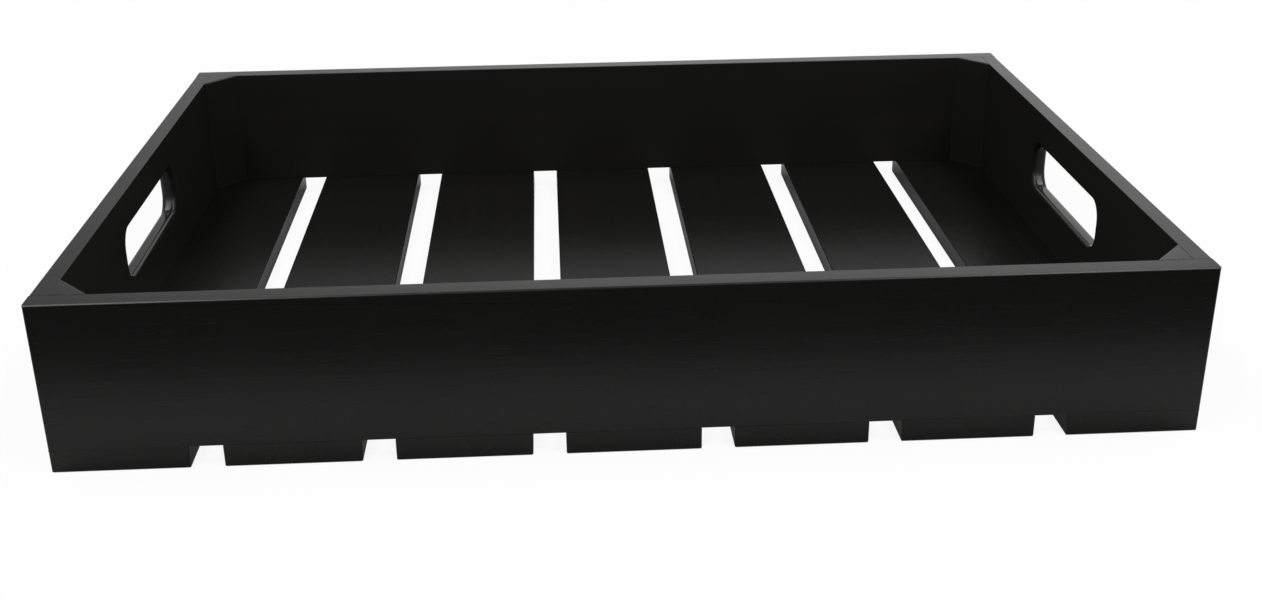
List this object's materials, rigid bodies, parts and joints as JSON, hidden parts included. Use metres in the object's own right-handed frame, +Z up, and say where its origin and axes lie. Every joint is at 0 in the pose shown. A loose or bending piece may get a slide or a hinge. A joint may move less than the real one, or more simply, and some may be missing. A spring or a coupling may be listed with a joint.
{
  "type": "display crate",
  "caption": "Shallow open wooden display crate with a bottom of spaced slats, corner blocks inside and a rounded hand hole through each end wall.",
  "frame": {"origin": "middle of the crate's footprint on the underside of the slats", "axes": "+X along the long walls, to the right seen from the front; +Y from the front wall to the back wall; +Z up"},
  "size_m": [0.4572, 0.33, 0.0716],
  "materials": {
    "wall_wood": "satin black paint",
    "slat_wood": "satin black paint",
    "block_wood": "satin black paint",
    "nail_steel": "bare steel, painted over with the wood"
  },
  "bodies": {
    "root": {"bottom_slat_1": "slat_wood", "bottom_slat_2": "slat_wood", "bottom_slat_3": "slat_wood", "bottom_slat_4": "slat_wood", "bottom_slat_5": "slat_wood", "bottom_slat_6": "slat_wood", "bottom_slat_7": "slat_wood", "front_wall": "wall_wood", "back_wall": "wall_wood", "left_end_wall": "wall_wood", "right_end_wall": "wall_wood", "corner_block_front_left": "block_wood", "corner_block_front_right": "block_wood", "corner_block_back_right": "block_wood", "corner_block_back_left": "block_wood", "slat_nail_1_front_left": "nail_steel", "slat_nail_1_front_right": "nail_steel", "slat_nail_1_back_left": "nail_steel", "slat_nail_1_back_right": "nail_steel", "slat_nail_2_front_left": "nail_steel", "slat_nail_2_front_right": "nail_steel", "slat_nail_2_back_left": "nail_steel", "slat_nail_2_back_right": "nail_steel", "slat_nail_3_front_left": "nail_steel", "slat_nail_3_front_right": "nail_steel", "slat_nail_3_back_left": "nail_steel", "slat_nail_3_back_right": "nail_steel", "slat_nail_4_front_left": "nail_steel", "slat_nail_4_front_right": "nail_steel", "slat_nail_4_back_left": "nail_steel", "slat_nail_4_back_right": "nail_steel", "slat_nail_5_front_left": "nail_steel", "slat_nail_5_front_right": "nail_steel", "slat_nail_5_back_left": "nail_steel", "slat_nail_5_back_right": "nail_steel", "slat_nail_6_front_left": "nail_steel", "slat_nail_6_front_right": "nail_steel", "slat_nail_6_back_left": "nail_steel", "slat_nail_6_back_right": "nail_steel", "slat_nail_7_front_left": "nail_steel", "slat_nail_7_front_right": "nail_steel", "slat_nail_7_back_left": "nail_steel", "slat_nail_7_back_right": "nail_steel", "end_nail_left_front": "nail_steel", "end_nail_left_back": "nail_steel", "end_nail_right_front": "nail_steel", "end_nail_right_back": "nail_steel", "corner_nail_front_left_lower": "nail_steel", "corner_nail_front_left_upper": "nail_steel", "corner_nail_front_right_lower": "nail_steel", "corner_nail_front_right_upper": "nail_steel", "corner_nail_back_left_lower": "nail_steel", "corner_nail_back_left_upper": "nail_steel", "corner_nail_back_right_lower": "nail_steel", "corner_nail_back_right_upper": "nail_steel"}
  },
  "joints": []
}
